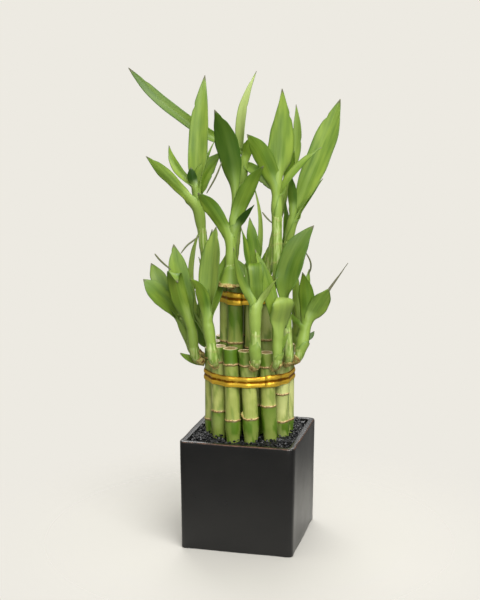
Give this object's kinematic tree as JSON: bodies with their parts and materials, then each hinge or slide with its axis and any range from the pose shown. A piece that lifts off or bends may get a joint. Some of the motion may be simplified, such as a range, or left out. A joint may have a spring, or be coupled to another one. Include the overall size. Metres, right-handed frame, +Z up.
{
  "type": "lucky bamboo in a square pot",
  "caption": "Two-tier arrangement of green dracaena canes with leafy shoots, bound by gilt ribbons and standing in black gravel in a square glazed pot.",
  "frame": {"origin": "middle of the pot's flat underside", "axes": "+Z up along the canes, -Y towards the front of the pot, +X to the right seen from the front"},
  "size_m": [0.1726, 0.1119, 0.3702],
  "materials": {
    "pot": "black satin glaze on stoneware",
    "gravel": "crushed black stone, glossy facets",
    "tie": "metallised gold film ribbon",
    "cane": "smooth waxy green cane, tan rings at the nodes",
    "stem": "smooth pale green living shoot",
    "leaf": "thin fresh leaf, satin"
  },
  "bodies": {
    "root": {"pot": "pot", "gravel": "gravel", "lower_tie": "tie", "upper_tie": "tie", "bud": "leaf", "cane_inner_1": "cane", "cane_inner_2": "cane", "cane_inner_3": "cane", "cane_inner_4": "cane", "cane_inner_5": "cane", "cane_inner_6": "cane", "cane_inner_7": "cane", "cane_outer_01": "cane", "cane_outer_02": "cane", "cane_outer_03": "cane", "cane_outer_04": "cane", "cane_outer_05": "cane", "cane_outer_06": "cane", "cane_outer_07": "cane", "cane_outer_08": "cane", "cane_outer_09": "cane", "cane_outer_10": "cane", "cane_outer_11": "cane", "cane_outer_12": "cane", "cane_outer_13": "cane", "leaves_lower_01": "leaf", "leaves_lower_02": "leaf", "leaves_lower_03": "leaf", "leaves_lower_04": "leaf", "leaves_lower_05": "leaf", "leaves_lower_06": "leaf", "leaves_lower_07": "leaf", "leaves_lower_08": "leaf", "leaves_lower_09": "leaf", "leaves_lower_10": "leaf", "leaves_upper_1": "leaf", "leaves_upper_2": "leaf", "leaves_upper_3": "leaf", "leaves_upper_4": "leaf", "leaves_upper_5": "leaf", "leaves_upper_6": "leaf", "leaves_upper_7": "leaf", "stem_lower_01": "stem", "stem_lower_02": "stem", "stem_lower_03": "stem", "stem_lower_04": "stem", "stem_lower_05": "stem", "stem_lower_06": "stem", "stem_lower_07": "stem", "stem_lower_08": "stem", "stem_lower_09": "stem", "stem_lower_10": "stem", "stem_upper_1": "stem", "stem_upper_2": "stem", "stem_upper_3": "stem", "stem_upper_4": "stem", "stem_upper_5": "stem", "stem_upper_6": "stem", "stem_upper_7": "stem"}
  },
  "joints": []
}
